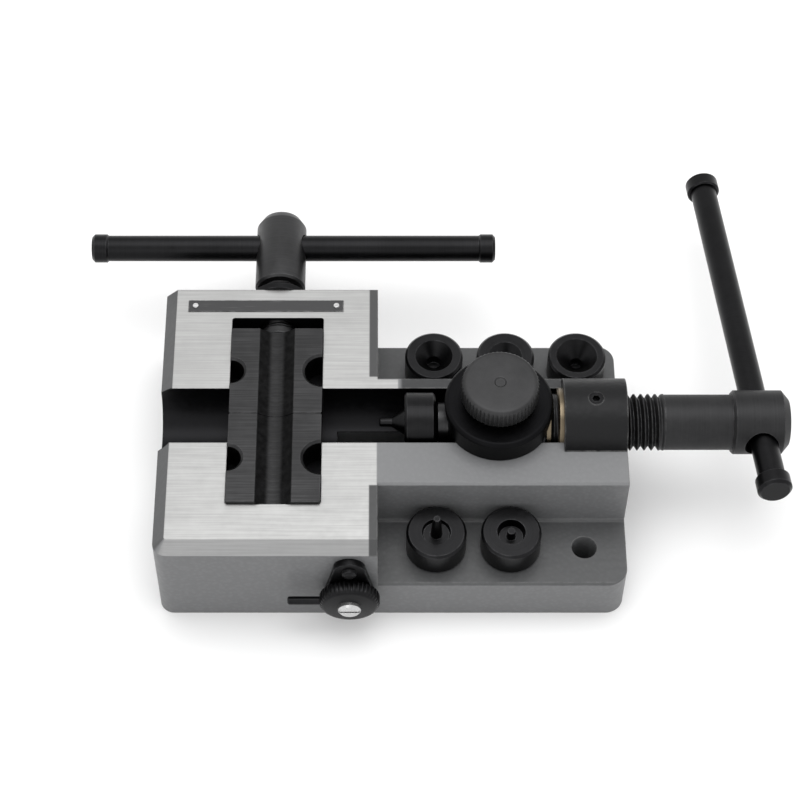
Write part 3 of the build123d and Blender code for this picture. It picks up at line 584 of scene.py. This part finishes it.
def casting_masks(tree, place):
    """Where the bed is ground, where painted shade goes (bore and window, right-end border, left
    bevel), where it is coloured black, where painted light goes on upward top faces, and where the
    decks are.
    """
    parts = add_node(tree, "ShaderNodeSeparateXYZ", i0=place).outputs
    geometry = tree.nodes.new("ShaderNodeNewGeometry")
    normal = add_node(tree, "ShaderNodeSeparateXYZ", i0=geometry.outputs["Normal"]).outputs
    # where the cutter has been: flat top of the block with its bevels
    facing_up = map_range(tree, normal[2], 0.45, 0.6)
    above = map_range(tree, parts[2], BEVEL_FOOT, BEVEL_FOOT + 0.3 * MM)
    on_block = map_range(tree, parts[0], BLOCK_RIGHT, BLOCK_RIGHT - CUTTER_EDGE)
    behind = map_range(tree, parts[1], RAIL_INSIDE, RAIL_INSIDE + 0.4 * MM)
    run_out = map_range(tree, parts[0], CUTTER_END, CUTTER_END - CUTTER_EDGE)
    on_block = larger(tree, on_block, product(tree, behind, run_out))
    level = map_range(tree, normal[2], 0.80, 0.95)
    # the front bevel takes part of the ground steel's colour: partly a real cut face, partly a
    # painted highlight on the bevel facing the front
    lit_front_bevel = map_range(tree, normal[1], -0.5, -0.65, 0.0, 0.6)
    # painted shade on the bevel facing left
    shaded_left_bevel = map_range(tree, normal[0], -0.5, -0.65)
    level = larger(tree, level, lit_front_bevel)
    # a painted shade border where the block drops to the decks, standing for its shaded right wall
    past_rear_rail = map_range(tree, parts[1], REAR_RAIL, REAR_RAIL + CUTTER_EDGE)
    past_front_rail = map_range(tree, parts[1], FRONT_RAIL, FRONT_RAIL - CUTTER_EDGE)
    shaded_border = map_range(tree, parts[0], SHADED_BORDER_LEFT - 0.3 * MM, SHADED_BORDER_LEFT + 0.3 * MM)
    shaded_border = product(tree, shaded_border, larger(tree, past_rear_rail, past_front_rail), above)
    outside_shaded_border = math_node(tree, "SUBTRACT", 1.0, shaded_border)
    # the line bore and the window, whose walls get a near-black painted shade
    aloft = math_node(tree, "SUBTRACT", parts[2], PRESS_HEIGHT)
    across = add_node(tree, "ShaderNodeCombineXYZ", i0=0.0, i1=parts[1], i2=aloft).outputs[0]
    distance = vector_node(tree, "LENGTH", across)["Value"]
    in_bore = map_range(tree, distance, BORE_RADIUS + 0.35 * MM, BORE_RADIUS + 0.15 * MM)
    aside = distance_from(tree, parts[0], WINDOW_MIDDLE)
    in_window = product(
        tree,
        map_range(tree, aside, WINDOW_HALF + 0.1 * MM, WINDOW_HALF - 0.1 * MM),
        map_range(tree, parts[1], WINDOW_FRONT - 0.1 * MM, WINDOW_FRONT + 0.1 * MM),
        map_range(tree, parts[1], WINDOW_REAR + 0.1 * MM, WINDOW_REAR - 0.1 * MM),
    )
    below_top = map_range(tree, parts[2], TOP_HEIGHT - 0.1 * MM, TOP_HEIGHT - 0.3 * MM)
    # the boss round the nut and the rear rail are coloured near black
    past_rails = map_range(tree, parts[0], BOSS_START - 0.2 * MM, BOSS_START + 0.2 * MM)
    near_axis = map_range(tree, distance, BOSS_RADIUS + 0.5 * MM, BOSS_RADIUS + 0.2 * MM)
    off_block = map_range(tree, parts[0], CUTTER_END, CUTTER_END + 1.5 * MM)
    high_up = map_range(tree, parts[2], DECK_HEIGHT + 4.0 * MM, DECK_HEIGHT + 8.0 * MM)
    rear_rail = product(tree, behind, off_block, high_up, 0.8)
    # the low decks are coloured darker
    low_down = map_range(tree, parts[2], DECK_HEIGHT + 1.5 * MM, DECK_HEIGHT + 0.3 * MM)
    return {
        "ground": product(tree, facing_up, above, on_block, level, outside_shaded_border),
        "bored": product(tree, larger(tree, in_bore, in_window), below_top),
        "black": larger(tree, product(tree, past_rails, near_axis), rear_rail),
        "shaded_border": shaded_border,
        "deck": product(tree, low_down, facing_up),
        # upward faces at the top, where the painted light goes
        "top": product(tree, facing_up, above),
        "shaded_left_bevel": product(tree, shaded_left_bevel, facing_up, above),
    }


def casting_material(finishes):
    """The bed: hammered enamel outside, a ground upper face, machined walls inside under a
    near-black painted shade, and painted light and shade on some faces.
    """
    material, tree, shader, place = start_material("casting")
    masks = casting_masks(tree, place)
    grain = place_group(tree, "metal_grain", Vector=place)
    wear = place_group(tree, "edge_wear", Vector=place, Radius=0.9 * MM, Amount=0.55)["Wear"]
    streak = place_group(tree, "ground_streaks", Vector=place, Fineness=1600.0)["Streak"]
    hammered = add_node(
        tree,
        "ShaderNodeTexVoronoi",
        {"feature": "SMOOTH_F1"},
        Vector=place,
        Scale=HAMMER_SCALE,
        Smoothness=0.7,
    ).outputs["Distance"]
    enamel, steel, bore_shade_colour = finishes.enamel, finishes.ground, finishes.bored
    paint = mix_colour(tree, grain["Mottle"], shade(enamel, 0.86), shade(enamel, 1.16))
    # share of each coat over the paint, and its colour, from the lowest coat up
    coats = (
        (map_range(tree, hammered, 0.15, 0.6, 0.0, 0.4), shade(enamel, 0.72)),
        (product(tree, masks["deck"], 0.65), finishes.deck),
        # painted light: the upward faces of the top are made lighter
        (product(tree, masks["top"], 0.6), shade(enamel, 1.5)),
        # painted shade on the left bevel
        (masks["shaded_left_bevel"], shade(enamel, 0.45)),
        # painted shade along the block's right end
        (masks["shaded_border"], shade(enamel, 0.3)),
        (product(tree, masks["black"], 0.94), shade(finishes.oxide, 0.6)),
        (wear, shade(steel, 0.62)),
    )
    for share, coat in coats:
        paint = mix_colour(tree, share, paint, coat)
    streaks = map_range(tree, streak, 0.3, 0.7)
    cut_face = mix_colour(tree, streaks, shade(steel, 0.9), shade(steel, 1.08))
    patches = map_range(tree, grain["Patch"], 0.4, 0.75, 0.0, 0.35)
    cut_face = mix_colour(tree, patches, cut_face, shade(steel, 0.8))
    # painted shade in the bore and the window
    bore_shade_skin = mix_colour(tree, grain["Mottle"], shade(bore_shade_colour, 0.7), shade(bore_shade_colour, 1.3))
    colour = mix_colour(tree, masks["ground"], paint, cut_face)
    colour = mix_colour(tree, masks["bored"], colour, bore_shade_skin)
    tree.links.new(colour, shader.inputs["Base Color"])
    bare = larger(tree, masks["ground"], masks["bored"])
    metal = larger(tree, larger(tree, bare, wear), masks["black"])
    tree.links.new(product(tree, metal, 0.9), shader.inputs["Metallic"])
    rough = add_node(
        tree, "ShaderNodeMix", {"data_type": "FLOAT"}, i0=bare, i2=0.46, i3=0.42
    ).outputs[0]
    uneven = product(tree, math_node(tree, "SUBTRACT", grain["Mottle"], 0.5), 0.22)
    rough = math_node(tree, "ADD", rough, uneven, clamp=True)
    tree.links.new(rough, shader.inputs["Roughness"])
    painted = math_node(tree, "SUBTRACT", 1.0, bare)
    bumps, fine = product(tree, hammered, painted, 1.1), product(tree, grain["Fine"], 0.25)
    height = math_node(tree, "ADD", bumps, fine)
    height = math_node(tree, "ADD", height, product(tree, streak, bare, 0.3))
    finish_relief(tree, shader, height, 0.35, 0.12 * MM, 0.5 * MM)
    return material


def plate_material(finishes):
    """The blank plate: satin black with a bare rim and fine scratches."""
    material, tree, shader, place = start_material("blank_plate")
    grain = place_group(tree, "metal_grain", Vector=place)
    streak = place_group(tree, "ground_streaks", Vector=place, Fineness=3200.0)["Streak"]
    wear = place_group(tree, "edge_wear", Vector=place, Radius=0.35 * MM, Amount=1.0)["Wear"]
    black, bright = finishes.plate, finishes.bright
    paint = mix_colour(tree, grain["Mottle"], shade(black, 0.8), shade(black, 1.4))
    scratches = map_range(tree, streak, 0.62, 0.75, 0.0, 0.5)
    paint = mix_colour(tree, scratches, paint, shade(bright, 0.4))
    paint = mix_colour(tree, wear, paint, shade(bright, 0.7))
    tree.links.new(paint, shader.inputs["Base Color"])
    rough = map_range(tree, grain["Mottle"], 0.2, 0.8, 0.35, 0.55)
    tree.links.new(rough, shader.inputs["Roughness"])
    tree.links.new(product(tree, wear, 0.9), shader.inputs["Metallic"])
    finish_relief(tree, shader, grain["Fine"], 0.15, 0.04 * MM, 0.15 * MM)
    return material


def floor_material(colour):
    """A plain pale floor with a very faint, broad unevenness."""
    material, tree, shader, place = start_material("pale_floor")
    noise = noise_node(tree, place, 2.0, 2.0)
    skin = mix_colour(tree, noise, shade(colour, 0.99), shade(colour, 1.01))
    tree.links.new(skin, shader.inputs["Base Color"])
    tree.links.new(map_range(tree, noise, 0.3, 0.7, 0.75, 0.85), shader.inputs["Roughness"])
    return material


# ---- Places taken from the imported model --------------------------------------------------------


def box_corners(node):
    """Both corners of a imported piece's box, as tuples of floats."""
    return tuple(tuple(float(part) for part in corner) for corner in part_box(node))


def box_centre(node):
    """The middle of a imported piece's box."""
    return tuple((low + high) / 2 for low, high in zip(*box_corners(node)))


# the press screw's axis, the line bore and the heights of the casting
PRESS_HEIGHT = box_centre("ram")[2]
PRESS_AXIS = (0.0, 0.0, PRESS_HEIGHT)
BORE_RADIUS = box_corners("press_nut")[1][1]
TOP_HEIGHT = 44.5 * MM
BEVEL_FOOT = TOP_HEIGHT - 4.6 * MM
DECK_HEIGHT = box_corners("front_punch_left")[0][2] + 14.0 * MM
# the block's right end, the cutter's run-out past it and how softly its mark ends
BLOCK_RIGHT = -5.0 * MM
CUTTER_END = BLOCK_RIGHT + 7.5 * MM
CUTTER_EDGE = 0.6 * MM
# left edge of the painted shade strip along the block's right end
SHADED_BORDER_LEFT = BLOCK_RIGHT - 3.0 * MM
# outer faces of both rails, and where the rear one starts
REAR_RAIL = 16.0 * MM
FRONT_RAIL = -28.4 * MM
RAIL_INSIDE = BORE_RADIUS * 0.8
# the window that the dies sit in
DIE_LOW, DIE_HIGH = box_corners("front_die")
WINDOW_MIDDLE = (DIE_LOW[0] + DIE_HIGH[0]) / 2
WINDOW_HALF = (DIE_HIGH[0] - DIE_LOW[0]) / 2 + 0.45 * MM
WINDOW_FRONT = DIE_LOW[1] - 0.5 * MM
WINDOW_REAR = 42.5 * MM
# half the width of the painted shade band along the dies' groove
GROOVE_SHADE_HALF = 6.3 * MM
# the boss round the nut
BOSS_START = box_corners("bed")[1][0] - 22.0 * MM
BOSS_RADIUS = box_corners("bed")[1][2] - PRESS_HEIGHT
HAMMER_SCALE = 620.0
CLAMP_THREAD_RADIUS = 6.0 * MM
PRESS_THREAD_RADIUS = 10.0 * MM
SPRING_WIRE = 0.25 * MM
SPRING_TURNS = 3
SPARE_PUNCHES = (
    "front_punch_left",
    "front_punch_middle",
    "rear_punch_left",
    "rear_punch_middle",
    "rear_punch_right",
)
FLOOR_CORNERS = ((-1, -1, 0), (1, -1, 0), (1, 1, 0), (-1, 1, 0))
AIR_BRIGHTNESS = 1.1
# name, place, aim, width and power of each lamp
LAMPS = (
    ("overhead_panel", (0.05, 0.20, 1.30), (0.0, 0.0, 0.03), 1.0, 6.0),
    ("front_panel", (-0.35, -1.10, 0.80), (0.0, 0.0, 0.03), 0.8, 1.2),
)
CAMERA_PLACE = (-0.0033, -0.4555, 0.7432)
CAMERA_DOWN = radians(56.53)
CAMERA_LENS = 106.8
CAMERA_SHIFT = 0.0218


def assign(nodes, material):
    """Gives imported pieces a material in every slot."""
    for name in nodes:
        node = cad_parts[name]
        if not node.material_slots:
            raise RuntimeError(f"{name} has no material slot")
        for slot in node.material_slots:
            slot.material = material


def take_place(piece, node, body, material):
    """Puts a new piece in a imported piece's stead."""
    piece.data.materials.append(material)
    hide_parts(node)
    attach(piece, body)


# ---- Operators ---------------------------------------------------------------------------------


class FLARING_TOOL_OT_bed(bpy.types.Operator):
    """Enamel, ground top, nuts and name plate of the bed"""

    bl_idname = "flaring_tool.bed"
    bl_label = "Bed"

    def execute(self, context):
        finishes = context.scene.flaring_tool_finishes
        assign(["bed"], casting_material(finishes))
        assign(["name_plate"], plate_material(finishes))
        rivets = ground_metal("rivet_steel", finishes.bright, 0.35, bright=1.4)
        assign(["name_plate_rivets"], rivets)
        nut = turned_metal("nut_bronze", finishes.bronze, 0.35, PRESS_AXIS, "X", bright=2.0)
        assign(["press_nut", "thrust_washer"], nut)
        centre = box_centre("clamp_nut")
        flange = turned_metal("clamp_nut_steel", finishes.oxide, 0.4, centre, "Y", bright=6.0)
        assign(["clamp_nut"], flange)
        centre = box_centre("nut_grub_screw")
        screw = turned_metal("small_screw_steel", finishes.oxide, 0.38, centre, bright=6.0)
        assign(["nut_grub_screw", "stop_plate_screw"], screw)
        return {"FINISHED"}


class FLARING_TOOL_OT_dies(bpy.types.Operator):
    """Hardened dies and the clamp pad"""

    bl_idname = "flaring_tool.dies"
    bl_label = "Dies"

    def execute(self, context):
        finishes = context.scene.flaring_tool_finishes
        assign(["front_die", "rear_die"], die_metal(finishes))
        pad = turned_metal("pad_steel", finishes.die, 0.4, box_centre("clamp_pad"), "Y")
        assign(["clamp_pad", "clamp_pad_pin"], pad)
        return {"FINISHED"}


class FLARING_TOOL_OT_clamp_screw(bpy.types.Operator):
    """Clamp screw with its cut thread"""

    bl_idname = "flaring_tool.clamp_screw"
    bl_label = "Clamp screw"

    def execute(self, context):
        finishes = context.scene.flaring_tool_finishes
        sizes = context.scene.flaring_tool_sizes
        centre, pitch = box_centre("clamp_screw"), sizes.clamp_pitch
        triangles = threaded_triangles(
            "clamp_screw", "Y", centre, CLAMP_THREAD_RADIUS, pitch, pitch * sizes.thread_depth
        )
        piece = make_piece("clamp_screw_cut", triangles)
        metal = turned_metal("clamp_screw_oxide", finishes.hub, 0.42, centre, "Y")
        take_place(piece, "clamp_screw", "clamp_screw", metal)
        return {"FINISHED"}


class FLARING_TOOL_OT_press_screw(bpy.types.Operator):
    """Press screw with its cut thread, plain shank and head"""

    bl_idname = "flaring_tool.press_screw"
    bl_label = "Press screw"

    def execute(self, context):
        finishes = context.scene.flaring_tool_finishes
        sizes = context.scene.flaring_tool_sizes
        pitch = sizes.press_pitch
        triangles = threaded_triangles(
            "press_screw", "X", PRESS_AXIS, PRESS_THREAD_RADIUS, pitch, pitch * sizes.thread_depth
        )
        piece = make_piece("press_screw_cut", triangles)
        metal = turned_metal(
            "press_screw_steel", finishes.shank, 0.5, PRESS_AXIS, "X", banding=0.7
        )
        take_place(piece, "press_screw", "press_screw", metal)
        return {"FINISHED"}


class FLARING_TOOL_OT_handles(bpy.types.Operator):
    """Both handle bars and their caps"""

    bl_idname = "flaring_tool.handles"
    bl_label = "Handle bars"

    def execute(self, context):
        finishes = context.scene.flaring_tool_finishes
        for bar, axis in (("clamp_bar", "X"), ("press_bar", "Y")):
            metal = turned_metal(
                bar + "_oxide", finishes.oxide, 0.36, box_centre(bar), axis, bright=7.0
            )
            assign([bar, bar + "_caps"], metal)
        return {"FINISHED"}


class FLARING_TOOL_OT_ram(bpy.types.Operator):
    """Ram, saddle, sleeve, pin and spring"""

    bl_idname = "flaring_tool.ram"
    bl_label = "Ram"

    def execute(self, context):
        finishes = context.scene.flaring_tool_finishes
        centre = box_centre("coupling_knob")
        assign(["ram"], turned_metal("ram_steel", finishes.ram, 0.34, PRESS_AXIS, "X", bright=5.0))
        saddle = turned_metal("saddle_steel", finishes.saddle, 0.42, centre, bright=6.0)
        assign(["ram_saddle"], saddle)
        metal = turned_metal("sleeve_steel", finishes.bright, 0.32, centre, bright=1.4)
        assign(["plunger_sleeve", "coupling_pin"], metal)
        low, high = box_corners("coupling_spring")
        x, y = box_centre("coupling_spring")[:2]
        radius = (high[0] - low[0]) / 2 - SPRING_WIRE
        bottom, top = low[2] + SPRING_WIRE, high[2] - SPRING_WIRE
        triangles = coil_triangles((x, y), radius, SPRING_WIRE, SPRING_TURNS, bottom, top)
        spring = make_piece("coupling_spring_coil", triangles)
        take_place(spring, "coupling_spring", "ram", metal)
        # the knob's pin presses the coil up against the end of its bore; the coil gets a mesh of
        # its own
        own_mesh(spring)
        return {"FINISHED"}


class FLARING_TOOL_OT_coupling_knob(bpy.types.Operator):
    """Fluted coupling knob on top of the ram"""

    bl_idname = "flaring_tool.coupling_knob"
    bl_label = "Coupling knob"

    def execute(self, context):
        finishes = context.scene.flaring_tool_finishes
        sizes = context.scene.flaring_tool_sizes
        low, high = box_corners("coupling_knob")
        x, y = box_centre("coupling_knob")[:2]
        radius = (high[0] - low[0]) / 2
        bottom, top = low[2], high[2]
        inside = box_corners("plunger_sleeve")[1][2] + 0.5 * MM
        pin_top = box_corners("coupling_pin")[1][2]
        skirt, pin = 9.6 * MM, 2.4 * MM
        profile = [
            (bottom, skirt, 0),
            (bottom, radius - 1.0 * MM, 0),
            (bottom + 0.3 * MM, radius - 0.55 * MM, 0),
            (bottom + 1.0 * MM, radius, 1),
            (top - 1.4 * MM, radius, 1),
            (top - 0.9 * MM, radius - 0.25 * MM, 0.6),
            (top - 0.35 * MM, radius - 0.75 * MM, 0),
            (top - 0.08 * MM, radius - 1.3 * MM, 0),
            (top, radius - 2.0 * MM, 0),
            (top, 2.2 * MM, 0),
            (top - 0.5 * MM, 1.6 * MM, 0),
            (top - 0.5 * MM, POINT, 0),
            (pin_top, POINT, 0),
            (pin_top, pin, 0),
            (inside, pin, 0),
            (inside, skirt, 0),
        ]
        foot = (x, y, 0.0)
        triangles = fluted_triangles(profile, "Z", foot, sizes.knob_flutes, sizes.flute_depth)
        piece = make_piece("coupling_knob_fluted", triangles)
        metal = turned_metal(
            "knob_steel", finishes.knob, 0.5, foot, bright=2.6, marks=0.2, banding=0.3
        )
        take_place(piece, "coupling_knob", "coupling_knob", metal)
        return {"FINISHED"}


class FLARING_TOOL_OT_punches(bpy.types.Operator):
    """The punch in the ram and the spare punches"""

    bl_idname = "flaring_tool.punches"
    bl_label = "Punches"

    def execute(self, context):
        finishes = context.scene.flaring_tool_finishes
        punches = [("punch_in_ram", PRESS_AXIS, "X")]
        punches += [(name, box_centre(name), "Z") for name in SPARE_PUNCHES]
        for name, centre, axis in punches:
            metal = turned_metal(name + "_steel", finishes.punch, 0.33, centre, axis, bright=6.0)
            assign([name], metal)
        return {"FINISHED"}


class FLARING_TOOL_OT_pipe_stop(bpy.types.Operator):
    """Pipe stop: shaft, flag, plate, fluted knob, lever and screw"""

    bl_idname = "flaring_tool.pipe_stop"
    bl_label = "Pipe stop"

    def execute(self, context):
        finishes = context.scene.flaring_tool_finishes
        sizes = context.scene.flaring_tool_sizes
        centre = box_centre("stop_knob")
        assign(["stop_plate"], ground_metal("stop_plate_oxide", finishes.oxide, 0.4, bright=7.0))
        assign(["stop_flag"], ground_metal("flag_steel", finishes.die, 0.36))
        lever = box_centre("stop_lever")
        metal = turned_metal("lever_steel", finishes.oxide, 0.34, lever, "X", bright=7.0)
        assign(["stop_lever"], metal)
        metal = turned_metal("stop_screw_steel", finishes.bright, 0.28, centre, "Y", bright=1.3)
        assign(["stop_shaft", "stop_flag_pin", "stop_knob_screw"], metal)
        low, high = box_corners("stop_knob")
        radius = (high[0] - low[0]) / 2
        front, back = low[1], high[1]
        shaft, cavity = 3.0 * MM, 3.0 * MM
        profile = [
            (front, POINT, 0),
            (front, radius - 1.8 * MM, 0),
            (front + 0.25 * MM, radius - 1.1 * MM, 0),
            (front + 0.8 * MM, radius - 0.35 * MM, 0.6),
            (front + 1.4 * MM, radius, 1),
            (back - 0.8 * MM, radius, 1),
            (back - 0.25 * MM, radius - 0.45 * MM, 0.3),
            (back, radius - 0.8 * MM, 0),
            (back, shaft, 0),
            (back - cavity, shaft, 0),
            (back - cavity, POINT, 0),
        ]
        foot = (centre[0], 0.0, centre[2])
        triangles = fluted_triangles(profile, "Y", foot, sizes.stop_flutes, sizes.flute_depth)
        piece = make_piece("stop_knob_fluted", triangles)
        metal = turned_metal("stop_knob_oxide", finishes.oxide, 0.36, centre, "Y", bright=8.0)
        take_place(piece, "stop_knob", "pipe_stop", metal)
        return {"FINISHED"}


class FLARING_TOOL_OT_stage(bpy.types.Operator):
    """Pale floor, soft light and the camera"""

    bl_idname = "flaring_tool.stage"
    bl_label = "Stage"

    def execute(self, context):
        scene = context.scene
        width = scene.flaring_tool_sizes.floor_width
        corners = np.array(FLOOR_CORNERS, float) * width / 2
        floor = make_piece("floor", corners[np.array([[0, 1, 2], [0, 2, 3]])])
        floor.data.materials.append(floor_material(scene.flaring_tool_finishes.floor))
        world = bpy.data.worlds.new("studio_air")
        world.use_nodes = True
        air = world.node_tree.nodes["Background"].inputs
        air["Color"].default_value = (1.0, 1.0, 1.0, 1.0)
        air["Strength"].default_value = AIR_BRIGHTNESS
        scene.world = world
        for name, place, aim, side, power in LAMPS:
            lamp = bpy.data.lights.new(name, "AREA")
            lamp.shape = "DISK"
            lamp.size = side
            lamp.energy = power
            holder = bpy.data.objects.new(name, lamp)
            scene.collection.objects.link(holder)
            holder.location = place
            direction = np.array(aim) - np.array(place)
            holder.rotation_euler = Vector(direction).to_track_quat("-Z", "Y").to_euler()
        camera = bpy.data.cameras.new("view")
        camera.sensor_width = 36.0
        camera.lens = CAMERA_LENS
        camera.shift_x = CAMERA_SHIFT
        camera.clip_end = 20.0
        holder = bpy.data.objects.new("view", camera)
        holder.location = CAMERA_PLACE
        holder.rotation_euler = (pi / 2 - CAMERA_DOWN, 0.0, 0.0)
        scene.collection.objects.link(holder)
        scene.camera = holder
        scene.view_settings.view_transform = "Standard"
        return {"FINISHED"}


class FLARING_TOOL_PT_pieces(bpy.types.Panel):
    """Lists the tool's pieces in the 3D view's sidebar"""

    bl_label = "Flaring tool"
    bl_idname = "FLARING_TOOL_PT_pieces"
    bl_space_type = "VIEW_3D"
    bl_region_type = "UI"
    bl_category = "Flaring tool"

    def draw(self, context):
        for group in (context.scene.flaring_tool_finishes, context.scene.flaring_tool_sizes):
            for name in group.__annotations__:
                self.layout.prop(group, name)
        for operator in OPERATORS:
            self.layout.operator(operator.bl_idname)


OPERATORS = (
    FLARING_TOOL_OT_bed,
    FLARING_TOOL_OT_dies,
    FLARING_TOOL_OT_clamp_screw,
    FLARING_TOOL_OT_press_screw,
    FLARING_TOOL_OT_handles,
    FLARING_TOOL_OT_ram,
    FLARING_TOOL_OT_coupling_knob,
    FLARING_TOOL_OT_punches,
    FLARING_TOOL_OT_pipe_stop,
    FLARING_TOOL_OT_stage,
)
CLASSES = (FlaringToolFinishes, FlaringToolSizes, *OPERATORS, FLARING_TOOL_PT_pieces)


def register():
    """Registers the settings, operators and panel."""
    for item in CLASSES:
        bpy.utils.register_class(item)
    bpy.types.Scene.flaring_tool_finishes = PointerProperty(type=FlaringToolFinishes)
    bpy.types.Scene.flaring_tool_sizes = PointerProperty(type=FlaringToolSizes)


def unregister():
    """Removes what register added."""
    del bpy.types.Scene.flaring_tool_sizes
    del bpy.types.Scene.flaring_tool_finishes
    for item in reversed(CLASSES):
        bpy.utils.unregister_class(item)


def main():
    """Makes every piece in order."""
    register()
    for operator in OPERATORS:
        group, name = operator.bl_idname.split(".")
        getattr(getattr(bpy.ops, group), name)()


if __name__ == "__main__":
    main()
